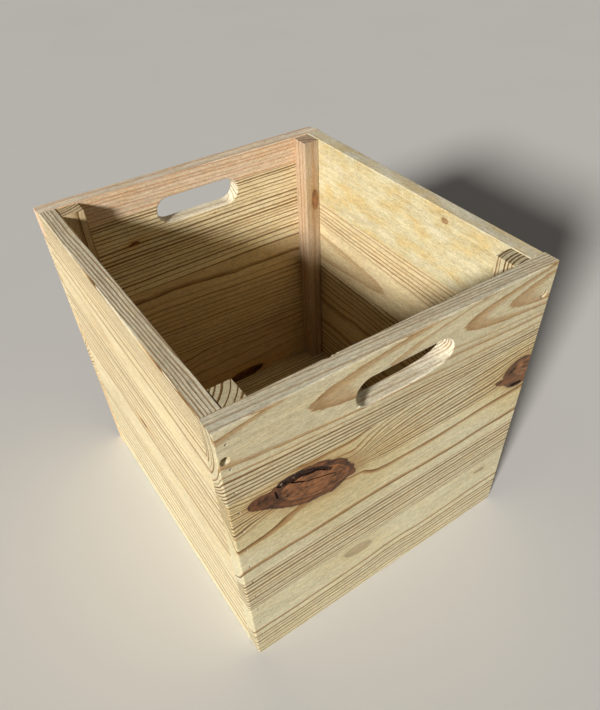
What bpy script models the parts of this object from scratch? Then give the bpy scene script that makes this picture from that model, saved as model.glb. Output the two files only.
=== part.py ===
"""Open pine box with routed hand slots, in metres, +Z up.

The front and back panels run the full width and cover the ends of the side panels.
Each panel is edge-glued from boards whose grain runs level. Four posts stand in the
inner corners on the bottom panel. Brads and four sunk screws hold the front and back
panels to the ends of the side panels.

The front is at -Y. The origin is under the middle of the box, on its lower face.
"""

from math import cos, pi, sin

import bmesh
import bpy
from mathutils import Matrix, Vector

# Overall size
WIDTH = 0.350
DEPTH = 0.389
HEIGHT = 0.356

# Wood
PANEL_THICKNESS = 0.018
BOTTOM_THICKNESS = 0.018
EDGE_EASE = 0.0015
EASE_SEGMENTS = 2
BACK_CORNER_RADIUS = 0.010
FRONT_FOOT_RADIUS = 0.005
CORNER_SEGMENTS = 6
GAP = 0.0003

# Heights of the glued boards, counted down from the rim; the lowest takes what is left
FRONT_TOP_BOARD = 0.0825
FRONT_MIDDLE_BOARD = 0.1725
BACK_TOP_BOARD = 0.030
BACK_UPPER_BOARD = 0.100
BACK_LOWER_BOARD = 0.123
LEFT_TOP_BOARD = 0.083
LEFT_MIDDLE_BOARD = 0.141
RIGHT_TOP_BOARD = 0.081
RIGHT_MIDDLE_BOARD = 0.091

# Width of the bottom panel's outer boards; the middle one takes what is left
BOTTOM_FRONT_BOARD = 0.112
BOTTOM_BACK_BOARD = 0.124

# Corner posts, by the long and the short side of their section
POST_LONG_SIDE = 0.0225
POST_SHORT_SIDE = 0.020
POST_BELOW_RIM = 0.0005

# Hand slots
SLOT_LENGTH = 0.104
SLOT_HEIGHT = 0.030
SLOT_BELOW_RIM = 0.0393
SLOT_ARC_STEPS = 20
SLOT_EDGE_STEPS = 16

# The lower edge of the front slot rises towards its right end, from a little past the middle
FRONT_SLOT_RISE = 0.0065
SLOT_RISE_START = 0.005

# Brads, in a row down each end of the front and back panels
BRAD_LENGTH = 0.040
BRAD_RADIUS = 0.0008
BRAD_TIP = 0.0025
BRAD_HEAD_RADIUS = 0.0013
BRAD_HEAD_THICKNESS = 0.0008
BRAD_SUNK = 0.0004
BRAD_BELOW_RIM = 0.0157
BRAD_ABOVE_BASE = 0.040
FRONT_BRADS_PER_ROW = 12
BACK_BRADS_PER_ROW = 6
BRAD_SIDES = 10

# Countersunk screws at the bottom of round counterbores
SCREW_LENGTH = 0.045
SCREW_RADIUS = 0.00175
SCREW_TIP = 0.006
SCREW_HEAD_RADIUS = 0.0033
SCREW_HEAD_THICKNESS = 0.0022
SCREW_BORE_RADIUS = 0.004
SCREW_SUNK = 0.007
SCREW_BELOW_RIM = 0.032
SCREW_INSET_LEFT = 0.0060
SCREW_INSET_RIGHT = 0.0105
SCREW_SIDES = 24

# How far a cutter passes the face that it opens
CUTTER_REACH = 0.004

# Colour and roughness of each finish
PINE = {
    "front": (0.62, 0.49, 0.30),
    "back": (0.60, 0.40, 0.20),
    "left": (0.78, 0.66, 0.42),
    "right": (0.74, 0.58, 0.32),
    "bottom": (0.50, 0.34, 0.17),
    "post": (0.66, 0.48, 0.31),
}
PINE_ROUGHNESS = 0.62
STEEL = (0.46, 0.45, 0.43)
STEEL_ROUGHNESS = 0.38

HALF_WIDTH = WIDTH / 2
HALF_DEPTH = DEPTH / 2
INNER_X = HALF_WIDTH - PANEL_THICKNESS
INNER_Y = HALF_DEPTH - PANEL_THICKNESS
SLOT_Z = HEIGHT - SLOT_BELOW_RIM
X_AXIS, Y_AXIS, Z_AXIS = range(3)


def clear_scene():
    for thing in list(bpy.data.objects):
        bpy.data.objects.remove(thing, do_unlink=True)


def finish(name, colour, roughness, metallic=0.0):
    """A plain Principled finish for one sub-part."""
    material = bpy.data.materials.new(name)
    material.use_nodes = True
    shader = material.node_tree.nodes["Principled BSDF"]
    shader.inputs["Base Color"].default_value = (*colour, 1.0)
    shader.inputs["Roughness"].default_value = roughness
    shader.inputs["Metallic"].default_value = metallic
    material.diffuse_color = (*colour, 1.0)
    return material


def pine(name, panel):
    return finish(f"{name}_finish", PINE[panel], PINE_ROUGHNESS)


def steel(name):
    return finish(f"{name}_finish", STEEL, STEEL_ROUGHNESS, metallic=1.0)


def new_object(name, mesh, place, parent=None):
    """An object at place, from a mesh that is modelled in world coordinates."""
    bmesh.ops.translate(mesh, verts=mesh.verts, vec=-place)
    data = bpy.data.meshes.new(name)
    mesh.to_mesh(data)
    mesh.free()
    piece = bpy.data.objects.new(name, data)
    piece.location = place
    piece.parent = parent
    bpy.context.scene.collection.objects.link(piece)
    return piece


def cutter(name, mesh, parent):
    piece = new_object(name, mesh, Vector((0.0, 0.0, 0.0)), parent)
    piece.hide_render = True
    piece.display_type = "WIRE"
    return piece


def cut(piece, tool):
    modifier = piece.modifiers.new(tool.name, "BOOLEAN")
    modifier.operation = "DIFFERENCE"
    modifier.solver = "EXACT"
    modifier.object = tool


def block(low, high):
    """A box between two corners."""
    mesh = bmesh.new()
    bmesh.ops.create_cube(mesh, size=1.0)
    low = Vector(low)
    high = Vector(high)
    bmesh.ops.scale(mesh, verts=mesh.verts, vec=high - low)
    bmesh.ops.translate(mesh, verts=mesh.verts, vec=(low + high) / 2)
    return mesh


def round_edges(mesh, radius, is_on_edge):
    """Round the edges whose two ends pass a test of their place."""
    bmesh.ops.bevel(
        mesh,
        geom=[edge for edge in mesh.edges if all(is_on_edge(vert.co) for vert in edge.verts)],
        offset=radius,
        segments=CORNER_SEGMENTS,
        profile=0.5,
        affect="EDGES",
    )


def on_back_right_edge(place):
    """The upright outer edge at the right end of the back panel."""
    return abs(place.x - HALF_WIDTH) < GAP / 2 and abs(place.y - HALF_DEPTH) < GAP / 2


def on_lower_left_edge(place):
    """The lower edge of a panel's left end face."""
    return abs(place.x + HALF_WIDTH) < GAP / 2 and abs(place.z) < GAP / 2


def on_lower_right_edge(place):
    """The lower edge of a panel's right end face."""
    return abs(place.x - HALF_WIDTH) < GAP / 2 and abs(place.z) < GAP / 2


def on_rounded_corner(edge):
    """Whether an edge is part of the arc that a rounded corner leaves in the rim or the base."""
    start_x = HALF_WIDTH - BACK_CORNER_RADIUS - GAP / 2
    start_y = HALF_DEPTH - BACK_CORNER_RADIUS - GAP / 2
    low, high = edge.verts
    level = abs(low.co.z - high.co.z) < GAP / 2
    return level and all(
        vert.co.x > start_x and vert.co.y > start_y for vert in edge.verts
    )


def ease_outer_edges(mesh, axis, place, along=(X_AXIS, Y_AXIS, Z_AXIS)):
    """Round the sharp edges of the face at place on axis that run along the given axes."""
    eased = []
    for edge in mesh.edges:
        on_face = all(abs(vert.co[axis] - place) < GAP / 2 for vert in edge.verts)
        run = edge.verts[1].co - edge.verts[0].co
        direction = max(range(3), key=lambda number: abs(run[number]))
        sharp = edge.calc_face_angle() > pi / 4
        if sharp and (on_face and direction in along or on_rounded_corner(edge)):
            eased.append(edge)
    bmesh.ops.bevel(
        mesh,
        geom=eased,
        offset=EDGE_EASE,
        segments=EASE_SEGMENTS,
        profile=0.5,
        affect="EDGES",
        clamp_overlap=True,
    )


def keep_side(mesh, axis, place, sign):
    """Keep what lies on one side of a plane across axis, and close the cut."""
    normal = Vector((0.0, 0.0, 0.0))
    normal[axis] = -sign
    point = Vector((0.0, 0.0, 0.0))
    point[axis] = place
    everything = mesh.verts[:] + mesh.edges[:] + mesh.faces[:]
    made = bmesh.ops.bisect_plane(
        mesh, geom=everything, plane_co=point, plane_no=normal, clear_outer=True
    )
    rim = [item for item in made["geom_cut"] if isinstance(item, bmesh.types.BMEdge)]
    bmesh.ops.holes_fill(mesh, edges=rim)
    bmesh.ops.recalc_face_normals(mesh, faces=mesh.faces)


def spans_down(top, heights):
    """Spans (low, high) of boards stacked down from top to zero."""
    spans = []
    for height in heights:
        spans.append((top - height, top))
        top -= height
    spans.append((0.0, top))
    return spans


def add_boards(names, panel, blank, axis, spans, parent):
    """Split a panel blank into boards along axis, with a glue gap between them."""
    boards = []
    lowest = min(low for low, high in spans)
    highest = max(high for low, high in spans)
    for name, (low, high) in zip(names, spans, strict=True):
        mesh = blank.copy()
        if low > lowest:
            keep_side(mesh, axis, low + GAP / 2, 1)
        if high < highest:
            keep_side(mesh, axis, high - GAP / 2, -1)
        corners = [vert.co for vert in mesh.verts]
        place = Vector([
            (min(co[number] for co in corners) + max(co[number] for co in corners)) / 2
            for number in range(3)
        ])
        board = new_object(f"{panel}_board_{name}", mesh, place, parent)
        board.data.materials.append(pine(board.name, panel))
        boards.append(board)
    blank.free()
    return boards


def slot_shape(length, height, rise, low_y, high_y):
    """A solid slot shape: round ends in the XZ plane, running along Y.

    Its lower edge rises by rise from SLOT_RISE_START to its right end.
    """
    radius = height / 2
    flat = length / 2 - radius
    level = []
    for side, start in ((1, -pi / 2), (-1, pi / 2)):
        for step in range(SLOT_ARC_STEPS + 1):
            angle = start + pi * step / SLOT_ARC_STEPS
            level.append((side * flat + radius * cos(angle), radius * sin(angle)))
    if rise:
        for step in range(1, SLOT_EDGE_STEPS):
            level.append((flat * (2 * step / SLOT_EDGE_STEPS - 1), -radius))
    outline = []
    for x, z in level:
        past = max(0.0, (x - SLOT_RISE_START) / (length / 2 - SLOT_RISE_START))
        below = max(0.0, -z / radius)
        outline.append((x, SLOT_Z + z + rise * past**2 * below**2))
    mesh = bmesh.new()
    face = mesh.faces.new([mesh.verts.new((x, low_y, z)) for x, z in outline])
    pushed = bmesh.ops.extrude_face_region(mesh, geom=[face])
    moved = [item for item in pushed["geom"] if isinstance(item, bmesh.types.BMVert)]
    bmesh.ops.translate(mesh, verts=moved, vec=(0.0, high_y - low_y, 0.0))
    bmesh.ops.recalc_face_normals(mesh, faces=mesh.faces)
    return mesh


def turned(profile, sides):
    """A closed body turned about +Y, from (distance, radius) pairs that end on the axis."""
    mesh = bmesh.new()
    rings = []
    for along, radius in profile:
        count = sides if radius > 0 else 1
        ring = []
        for step in range(count):
            angle = 2 * pi * step / sides
            ring.append(mesh.verts.new((radius * cos(angle), along, radius * sin(angle))))
        rings.append(ring)
    for first, second in zip(rings, rings[1:]):
        for step in range(sides):
            corners = [
                first[step % len(first)],
                first[(step + 1) % len(first)],
                second[(step + 1) % len(second)],
                second[step % len(second)],
            ]
            mesh.faces.new(list(dict.fromkeys(corners)))
    bmesh.ops.recalc_face_normals(mesh, faces=mesh.faces)
    return mesh


def brad_profile():
    return (
        (0.0, 0.0),
        (0.0, BRAD_HEAD_RADIUS),
        (BRAD_HEAD_THICKNESS, BRAD_HEAD_RADIUS),
        (BRAD_HEAD_THICKNESS, BRAD_RADIUS),
        (BRAD_LENGTH - BRAD_TIP, BRAD_RADIUS),
        (BRAD_LENGTH, 0.0),
    )


def brad_bore_profile():
    """The room that a brad takes in the wood, open at the face."""
    return (
        (-CUTTER_REACH, 0.0),
        (-CUTTER_REACH, BRAD_HEAD_RADIUS + GAP),
        (BRAD_HEAD_THICKNESS + GAP, BRAD_HEAD_RADIUS + GAP),
        (BRAD_HEAD_THICKNESS + GAP, BRAD_RADIUS + GAP),
        (BRAD_LENGTH + GAP, BRAD_RADIUS + GAP),
        (BRAD_LENGTH + GAP, 0.0),
    )


def screw_profile():
    return (
        (0.0, 0.0),
        (0.0, SCREW_HEAD_RADIUS),
        (SCREW_HEAD_THICKNESS, SCREW_RADIUS),
        (SCREW_LENGTH - SCREW_TIP, SCREW_RADIUS),
        (SCREW_LENGTH, 0.0),
    )


def screw_bore_profile():
    """The counterbore, the seat of the head and the hole for the shank."""
    return (
        (-SCREW_SUNK - CUTTER_REACH, 0.0),
        (-SCREW_SUNK - CUTTER_REACH, SCREW_BORE_RADIUS),
        (0.0, SCREW_BORE_RADIUS),
        (GAP, SCREW_HEAD_RADIUS + GAP),
        (SCREW_HEAD_THICKNESS + GAP, SCREW_RADIUS + GAP),
        (SCREW_LENGTH + GAP, SCREW_RADIUS + GAP),
        (SCREW_LENGTH + GAP, 0.0),
    )


def brad_heights(count):
    """Heights of a row of brads, from the top one down."""
    top = HEIGHT - BRAD_BELOW_RIM
    pitch = (top - BRAD_ABOVE_BASE) / (count - 1)
    return [top - number * pitch for number in range(count)]


def fastener_places(side, brad_count):
    """Name, kind and head position of each fastener in the front (-1) or back (1) panel."""
    places = []
    rows = (
        ("left", -1, SCREW_INSET_LEFT),
        ("right", 1, SCREW_INSET_RIGHT),
    )
    for row, sign, screw_inset in rows:
        x = sign * (HALF_WIDTH - PANEL_THICKNESS / 2)
        y = side * (HALF_DEPTH - BRAD_SUNK)
        for number, z in enumerate(brad_heights(brad_count), 1):
            places.append((f"brad_{row}_{number:02d}", "brad", Vector((x, y, z))))
        x = sign * (HALF_WIDTH - screw_inset)
        y = side * (HALF_DEPTH - SCREW_SUNK)
        z = HEIGHT - SCREW_BELOW_RIM
        places.append((f"screw_{row}", "screw", Vector((x, y, z))))
    return places


def placed(mesh, place, side):
    """Turn a body that runs along +Y so that it runs inward from its panel's face."""
    turn = Matrix.Rotation(0.0 if side < 0 else pi, 4, "Z")
    bmesh.ops.transform(mesh, matrix=Matrix.Translation(place) @ turn, verts=mesh.verts)
    return mesh


def add_fasteners(panel, side, brad_count, parent):
    """Add a panel's brads and screws, and return the cutter for their holes."""
    bores = bmesh.new()
    shapes = {
        "brad": (brad_profile(), brad_bore_profile(), BRAD_SIDES),
        "screw": (screw_profile(), screw_bore_profile(), SCREW_SIDES),
    }
    for name, kind, place in fastener_places(side, brad_count):
        profile, bore_profile, sides = shapes[kind]
        body = placed(turned(profile, sides), place, side)
        piece = new_object(f"{panel}_{name}", body, place, parent)
        piece.data.materials.append(steel(piece.name))
        piece.data.shade_smooth()
        piece.data.set_sharp_from_angle(angle=pi / 6)
        hole = placed(turned(bore_profile, sides), place, side)
        data = bpy.data.meshes.new("bore")
        hole.to_mesh(data)
        hole.free()
        bores.from_mesh(data)
        bpy.data.meshes.remove(data)
    return cutter(f"{panel}_fastener_bores", bores, parent)


def add_end_panel(panel, side, names, heights, slot_rise, parent):
    """The front (-1) or back (1) panel, the full width of the box."""
    outer = side * HALF_DEPTH
    inner = side * INNER_Y
    blank = block(
        (-HALF_WIDTH, min(outer, inner), 0.0),
        (HALF_WIDTH, max(outer, inner), HEIGHT),
    )
    if side > 0:
        round_edges(blank, BACK_CORNER_RADIUS, on_back_right_edge)
    else:
        round_edges(blank, FRONT_FOOT_RADIUS, on_lower_left_edge)
        round_edges(blank, FRONT_FOOT_RADIUS, on_lower_right_edge)
    ease_outer_edges(blank, Y_AXIS, outer)
    spans = spans_down(HEIGHT, heights)
    boards = add_boards(names, panel, blank, Z_AXIS, spans, parent)
    slot = cutter(
        f"{panel}_slot_cutter",
        slot_shape(
            SLOT_LENGTH,
            SLOT_HEIGHT,
            slot_rise,
            min(outer, inner) - CUTTER_REACH,
            max(outer, inner) + CUTTER_REACH,
        ),
        parent,
    )
    for board, (low, high) in zip(boards, spans, strict=True):
        if low < SLOT_Z + SLOT_HEIGHT / 2 and high > SLOT_Z - SLOT_HEIGHT / 2:
            cut(board, slot)
    return boards


def add_side_panel(panel, side, names, heights, parent):
    """The left (-1) or right (1) panel, between the front and back panels."""
    outer = side * HALF_WIDTH
    inner = side * INNER_X
    reach = INNER_Y - GAP
    blank = block(
        (min(outer, inner), -reach, 0.0),
        (max(outer, inner), reach, HEIGHT),
    )
    ease_outer_edges(blank, X_AXIS, outer, along=(Y_AXIS,))
    return add_boards(names, panel, blank, Z_AXIS, spans_down(HEIGHT, heights), parent)


def add_bottom_panel(parent):
    """Three boards across the inside, flush with the lower edges of the walls."""
    reach_x = INNER_X - GAP
    reach_y = INNER_Y - GAP
    blank = block((-reach_x, -reach_y, 0.0), (reach_x, reach_y, BOTTOM_THICKNESS))
    front_joint = -reach_y + BOTTOM_FRONT_BOARD
    back_joint = reach_y - BOTTOM_BACK_BOARD
    spans = ((-reach_y, front_joint), (front_joint, back_joint), (back_joint, reach_y))
    return add_boards(("front", "middle", "back"), "bottom", blank, Y_AXIS, spans, parent)


def add_post(name, sign_x, sign_y, size_x, size_y, parent):
    """A post in an inner corner, from the bottom panel to just below the rim."""
    corner_x = sign_x * (INNER_X - GAP)
    corner_y = sign_y * (INNER_Y - GAP)
    near_x = corner_x - sign_x * size_x
    near_y = corner_y - sign_y * size_y
    mesh = block(
        (min(corner_x, near_x), min(corner_y, near_y), BOTTOM_THICKNESS + GAP),
        (max(corner_x, near_x), max(corner_y, near_y), HEIGHT - POST_BELOW_RIM),
    )
    place = Vector(((corner_x + near_x) / 2, (corner_y + near_y) / 2, BOTTOM_THICKNESS + GAP))
    post = new_object(name, mesh, place, parent)
    post.data.materials.append(pine(name, "post"))


def build():
    clear_scene()
    box = bpy.data.objects.new("box", None)
    bpy.context.scene.collection.objects.link(box)

    front = add_end_panel(
        "front",
        -1,
        ("top", "middle", "bottom"),
        (FRONT_TOP_BOARD, FRONT_MIDDLE_BOARD),
        FRONT_SLOT_RISE,
        box,
    )
    back = add_end_panel(
        "back",
        1,
        ("top", "upper", "lower", "bottom"),
        (BACK_TOP_BOARD, BACK_UPPER_BOARD, BACK_LOWER_BOARD),
        0.0,
        box,
    )
    left = add_side_panel(
        "left", -1, ("top", "middle", "bottom"), (LEFT_TOP_BOARD, LEFT_MIDDLE_BOARD), box
    )
    right = add_side_panel(
        "right", 1, ("top", "middle", "bottom"), (RIGHT_TOP_BOARD, RIGHT_MIDDLE_BOARD), box
    )
    add_bottom_panel(box)

    add_post("post_front_left", -1, -1, POST_SHORT_SIDE, POST_LONG_SIDE, box)
    add_post("post_front_right", 1, -1, POST_SHORT_SIDE, POST_LONG_SIDE, box)
    add_post("post_back_left", -1, 1, POST_LONG_SIDE, POST_SHORT_SIDE, box)
    add_post("post_back_right", 1, 1, POST_SHORT_SIDE, POST_LONG_SIDE, box)

    front_bores = add_fasteners("front", -1, FRONT_BRADS_PER_ROW, box)
    back_bores = add_fasteners("back", 1, BACK_BRADS_PER_ROW, box)
    for board in front + left + right:
        cut(board, front_bores)
    for board in back + left + right:
        cut(board, back_bores)


build()
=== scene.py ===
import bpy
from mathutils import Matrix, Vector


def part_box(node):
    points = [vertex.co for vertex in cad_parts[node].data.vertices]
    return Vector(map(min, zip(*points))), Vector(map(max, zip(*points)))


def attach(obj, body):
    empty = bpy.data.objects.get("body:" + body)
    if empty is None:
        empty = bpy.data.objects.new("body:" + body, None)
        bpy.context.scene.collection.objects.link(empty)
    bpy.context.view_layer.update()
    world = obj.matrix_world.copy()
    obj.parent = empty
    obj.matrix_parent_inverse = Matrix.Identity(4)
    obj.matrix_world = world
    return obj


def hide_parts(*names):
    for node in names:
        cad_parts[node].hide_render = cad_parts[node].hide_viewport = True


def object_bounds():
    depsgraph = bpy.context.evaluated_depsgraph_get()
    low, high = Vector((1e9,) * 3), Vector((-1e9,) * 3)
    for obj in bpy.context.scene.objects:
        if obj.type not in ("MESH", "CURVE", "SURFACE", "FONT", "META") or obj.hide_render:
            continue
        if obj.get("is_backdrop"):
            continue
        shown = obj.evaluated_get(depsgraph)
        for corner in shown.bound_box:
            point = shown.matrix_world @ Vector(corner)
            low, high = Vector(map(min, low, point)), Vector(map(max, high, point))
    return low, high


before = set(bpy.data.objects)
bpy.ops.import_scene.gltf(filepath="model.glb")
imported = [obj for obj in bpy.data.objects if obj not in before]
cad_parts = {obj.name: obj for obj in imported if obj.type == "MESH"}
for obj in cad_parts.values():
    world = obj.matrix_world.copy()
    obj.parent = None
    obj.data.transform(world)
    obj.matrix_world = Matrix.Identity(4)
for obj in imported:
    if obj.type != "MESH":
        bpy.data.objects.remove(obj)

from inspect import signature
from math import cos, pi, radians, sin
from random import Random

import bmesh
import bpy
from bpy.props import FloatProperty, FloatVectorProperty, PointerProperty
from mathutils import Matrix, Vector, noise

bl_info = {
    "name": "Pine Box",
    "version": (1, 0, 0),
    "blender": (4, 5, 0),
    "location": "View3D > Sidebar > Pine Box",
    "description": "Edge-glued pine box with hand slots, corner posts, screws and brads",
    "category": "Add Mesh",
}

CAD_LOW, CAD_HIGH = (Vector(corner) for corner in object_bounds())
BODY = "root"
MM = 0.001
# How much paler the planed top edges are than the faces, partly paler planed wood and partly painted
# light on these upward faces; 1 is as pale as the slot walls cut by the router
RIM_PALENESS = 0.7
# Faces that meet at less than this angle, in radians, count as one rounded face
SHARP_ANGLE = 1.0

# Sizes are in metres
SLOT_ARC_STEPS = 28
SLOT_EDGE_STEPS = 30
SLOT_MOUTH_STEPS = 6
# How far right of its middle the front slot's lower edge starts to rise
SLOT_RISE_START = 0.005
CUTTER_REACH = 0.002

SCREW_BORE_RADIUS = 0.004
SCREW_TIP = 0.006
SCREW_PITCH = 0.0018
SCREW_PLAIN_SHANK = 0.010
BRAD_TIP = 0.0025
BRAD_HEAD = 0.0009
BRAD_PLAY = 0.00005

TEAR_DEPTH = 0.0011
CHIP_DEPTH = 0.0016

# Azimuth 0 is straight in front of the box
SUN_AZIMUTH, SUN_ELEVATION, SUN_ANGLE = radians(-63.0), radians(22.8), radians(9.5)
CAMERA_AZIMUTH, CAMERA_ELEVATION, CAMERA_ROLL = radians(-34.381), radians(45.447), radians(-1.398)
CAMERA_PLACE = (-0.26428, -0.45582, 0.65417)
CAMERA_SHIFT = (-0.0308, 0.0674)

# Which world axes run along, across and through the boards of each panel
ALONG_ACROSS_DEPTH = {
    "front": "XZY",
    "back": "XZY",
    "left": "YZX",
    "right": "YZX",
    "bottom": "XYZ",
    "post": "ZXY",
}


# ---------------------------------------------------------------- sizes and colours


class PineBoxShape(bpy.types.PropertyGroup):
    """Sizes of the fine shapes that the frame leaves open."""

    edge_round: FloatProperty(
        name="Edge Round", description="Radius on the outer edges of the panels",
        default=0.0018, min=0.0002, max=0.005, unit="LENGTH",
    )
    inner_round: FloatProperty(
        name="Inner Edge Round", description="Radius on the rim's inner edges and the posts",
        default=0.0008, min=0.0001, max=0.003, unit="LENGTH",
    )
    slot_round: FloatProperty(
        name="Slot Round", description="Radius where the hand slots meet the faces",
        default=0.0016, min=0.0002, max=0.006, unit="LENGTH",
    )
    glue_line: FloatProperty(
        name="Glue Line", description="Width of the joint between neighbouring boards",
        default=0.00006, min=0.0, max=0.0003, unit="LENGTH",
    )
    slot_length: FloatProperty(
        name="Slot Length", description="Length of the hand slots",
        default=0.104, min=0.06, max=0.2, unit="LENGTH",
    )
    slot_height: FloatProperty(
        name="Slot Height", description="Height of the hand slots",
        default=0.030, min=0.02, max=0.05, unit="LENGTH",
    )
    slot_below_rim: FloatProperty(
        name="Slot Below Rim", description="From the rim down to the middle of the hand slots",
        default=0.0393, min=0.02, max=0.2, unit="LENGTH",
    )
    slot_rise: FloatProperty(
        name="Front Slot Rise", description="Rise of the front slot's lower edge at its right end",
        default=0.0065, min=0.0, max=0.01, unit="LENGTH",
    )
    corner_round: FloatProperty(
        name="Back Corner Round", description="Radius of the rounded corner at the back",
        default=0.010, min=0.0, max=0.012, unit="LENGTH",
    )
    foot_round: FloatProperty(
        name="Front Foot Round", description="Radius of the front panel's two lower corners",
        default=0.005, min=0.0, max=0.012, unit="LENGTH",
    )
    resin_depth: FloatProperty(
        name="Resin Pocket Depth", description="Depth of the cracked pocket in the large knot",
        default=0.0016, min=0.0, max=0.004, unit="LENGTH",
    )


class PineBoxWood(bpy.types.PropertyGroup):
    """Colours of the pine."""

    pale: FloatVectorProperty(
        name="Early Wood", description="Pale wood between the ring lines",
        default=(0.68, 0.595, 0.385), min=0.0, max=1.0, subtype="COLOR",
    )
    late: FloatVectorProperty(
        name="Late Wood", description="Brown band of each growth ring",
        default=(0.445, 0.282, 0.130), min=0.0, max=1.0, subtype="COLOR",
    )
    edge: FloatVectorProperty(
        name="Ring Edge", description="Dark edge where a growth ring ends",
        default=(0.165, 0.096, 0.037), min=0.0, max=1.0, subtype="COLOR",
    )
    knot: FloatVectorProperty(
        name="Knot", description="Kernel of the knots",
        default=(0.245, 0.102, 0.040), min=0.0, max=1.0, subtype="COLOR",
    )
    bark: FloatVectorProperty(
        name="Knot Bark", description="Darker wood round the kernel of a knot",
        default=(0.150, 0.057, 0.021), min=0.0, max=1.0, subtype="COLOR",
    )
    resin: FloatVectorProperty(
        name="Resin", description="Dark rim and cracks of the knots",
        default=(0.022, 0.011, 0.008), min=0.0, max=1.0, subtype="COLOR",
    )
    roughness: FloatProperty(
        name="Roughness", description="Roughness of the sanded faces",
        default=0.55, min=0.0, max=1.0, subtype="FACTOR",
    )


class PineBoxStage(bpy.types.PropertyGroup):
    """Floor, light and camera."""

    key_strength: FloatProperty(
        name="Key Strength", description="Strength of the soft light from the left",
        default=4.05, min=0.0,
    )
    fill_strength: FloatProperty(
        name="Fill Strength", description="Brightness of the even surroundings",
        default=0.085, min=0.0,
    )
    floor_colour: FloatVectorProperty(
        name="Floor", description="Colour of the plain floor",
        default=(0.80, 0.79, 0.77), min=0.0, max=1.0, subtype="COLOR",
    )
    lens: FloatProperty(
        name="Lens", description="Focal length of the camera on a 36 mm sensor",
        default=30.684, min=1.0, unit="CAMERA",
    )


# ---------------------------------------------------------------- shader node helpers

VECTOR = "vector"


class Field:
    """A node's output that can be used in plain sums."""

    def __init__(self, tree, socket):
        self.tree = tree
        self.socket = socket

    def __add__(self, other):
        return self.tree.math("ADD", self, other)

    def __sub__(self, other):
        return self.tree.math("SUBTRACT", self, other)

    def __rsub__(self, other):
        return self.tree.math("SUBTRACT", other, self)

    def __mul__(self, other):
        return self.tree.math("MULTIPLY", self, other)

    def __truediv__(self, other):
        return self.tree.math("DIVIDE", self, other)

    def smooth(self, low, high, to_low=0.0, to_high=1.0):
        """Ease from to_low at low to to_high at high."""
        limits = {"From Min": low, "From Max": high, "To Min": to_low, "To Max": to_high}
        return self.tree.made(
            "ShaderNodeMapRange", "Result", {"Value": self, **limits}, interpolation_type="SMOOTHSTEP"
        )


class Tree:
    """Adds nodes to a node tree; numbers and fields can be mixed freely."""

    def __init__(self, tree):
        self.tree = tree

    def node(self, kind, **settings):
        made = self.tree.nodes.new(kind)
        for name, value in settings.items():
            setattr(made, name, value)
        return made

    def put(self, socket, value):
        if isinstance(value, Field):
            self.tree.links.new(value.socket, socket)
        elif value is not None:
            if socket.type == "RGBA" and len(value) == 3:
                value = (*value, 1.0)
            socket.default_value = value

    def made(self, kind, output, values=None, **settings):
        """Add a node, fill the inputs named or numbered in values, and return one output."""
        node = self.node(kind, **settings)
        for key, value in (values or {}).items():
            self.put(node.inputs[key], value)
        return Field(self, node.outputs[output])

    def math(self, operation, *values, clamp=False):
        values = dict(enumerate(values))
        return self.made("ShaderNodeMath", 0, values, operation=operation, use_clamp=clamp)

    def vector(self, operation, first, second=None, scale=None):
        values = {0: first, 1: second} if scale is None else {0: first, "Scale": scale}
        output = "Value" if operation == "LENGTH" else "Vector"
        return self.made("ShaderNodeVectorMath", output, values, operation=operation)

    def combine(self, *parts):
        return self.made("ShaderNodeCombineXYZ", 0, dict(enumerate(parts)))

    def separate(self, vector):
        node = self.node("ShaderNodeSeparateXYZ")
        self.put(node.inputs[0], vector)
        return [Field(self, output) for output in node.outputs]

    def noise(self, place, stretch=None, scale=1.0, detail=2.0, roughness=0.5):
        """Noise, with the place first multiplied by stretch."""
        if stretch:
            place = self.vector("MULTIPLY", place, stretch)
        values = {"Vector": place, "Scale": scale, "Detail": detail, "Roughness": roughness}
        return self.made("ShaderNodeTexNoise", "Fac", values)

    def mix(self, factor, first, second, blend="MIX"):
        return self.made(
            "ShaderNodeMix", 2, {"Factor": factor, 6: first, 7: second},
            data_type="RGBA", blend_type=blend, clamp_factor=True,
        )

    def tint(self, colour, tone):
        """A colour times a brightness or times another colour."""
        if isinstance(tone, Field):
            tone = self.combine(tone, tone, tone)
        return self.mix(1.0, colour, tone, "MULTIPLY")

    def blend(self, factor, first, second):
        """A mix of two numbers."""
        return self.made("ShaderNodeMix", 0, {0: factor, 2: first, 3: second}, data_type="FLOAT")

    def bump(self, height, strength, distance):
        values = {"Strength": strength, "Distance": distance, "Height": height}
        return self.made("ShaderNodeBump", "Normal", values)

    def group(self, group, **values):
        """Add a node group; returns its outputs by name."""
        node = self.node("ShaderNodeGroup", node_tree=group)
        for name, value in values.items():
            self.put(node.inputs[label(name)], value)
        return {output.name.lower(): Field(self, output) for output in node.outputs}


def label(name):
    """The label of a socket, from the name that the script uses for it."""
    return name.replace("_", " ").title()


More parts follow.
